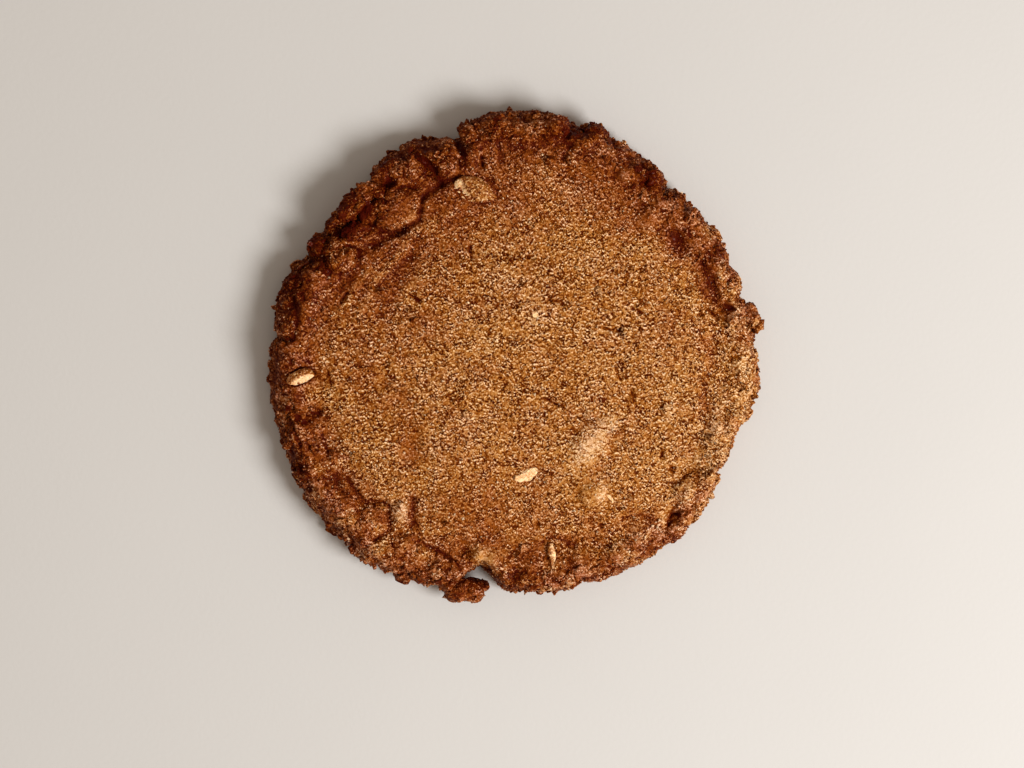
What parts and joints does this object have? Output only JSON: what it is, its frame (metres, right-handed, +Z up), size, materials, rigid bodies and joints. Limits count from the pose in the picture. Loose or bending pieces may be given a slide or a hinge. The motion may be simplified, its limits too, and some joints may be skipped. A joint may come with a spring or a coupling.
{
  "type": "cashew cookie",
  "caption": "Large round baked cookie with a sandy crackled face, a darker lumpy rim, a crumbly side and chopped nuts sunk in the dough, lying flat on its underside",
  "frame": {"origin": "centre of the outline's box, on the flat underside that the cookie rests on", "axes": "+Z up out of the shown face, +X to the right of the face as pictured, +Y towards its top edge"},
  "size_m": [0.1064, 0.1062, 0.0127],
  "materials": {
    "dough": "baked sugar crust, rough with a faint glint",
    "cashew": "toasted nut, smooth outside and mealy where it broke"
  },
  "bodies": {
    "root": {"cookie": "dough"}
  },
  "joints": []
}
